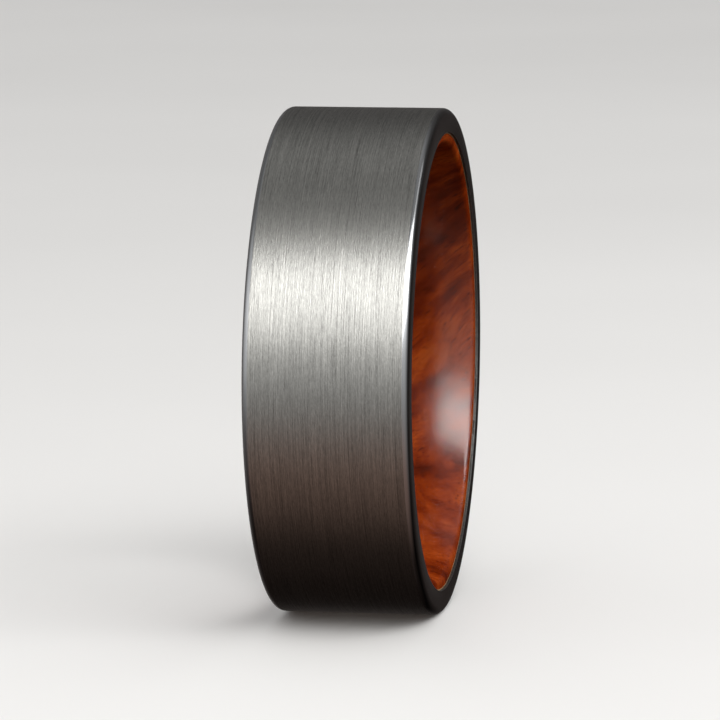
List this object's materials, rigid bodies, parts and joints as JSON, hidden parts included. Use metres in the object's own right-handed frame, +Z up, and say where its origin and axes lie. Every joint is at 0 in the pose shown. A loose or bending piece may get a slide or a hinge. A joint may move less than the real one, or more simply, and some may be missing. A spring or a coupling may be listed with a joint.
{
  "type": "wedding band",
  "caption": "Flat wedding band with a brushed metal shell, polished rounded edges and a lacquered wooden sleeve lining the finger hole.",
  "frame": {"origin": "centre of the finger hole, midway between the two side faces", "axes": "+Y along the finger hole; +Z up with the band standing on its round edge as in the picture; +X square to both, so that a viewer on the +X side sees the +Y side face at the right"},
  "size_m": [0.025, 0.008, 0.025],
  "materials": {
    "brushed_metal": "satin, brushed round the band, with polished edges",
    "cured_glue": "clear amber",
    "red_wood": "fine sanded, figured red-brown wood",
    "lacquer": "clear gloss"
  },
  "bodies": {
    "root": {"metal_band": "brushed_metal", "bond_line": "cured_glue", "wood_liner": "red_wood", "clear_coat": "lacquer"}
  },
  "joints": []
}
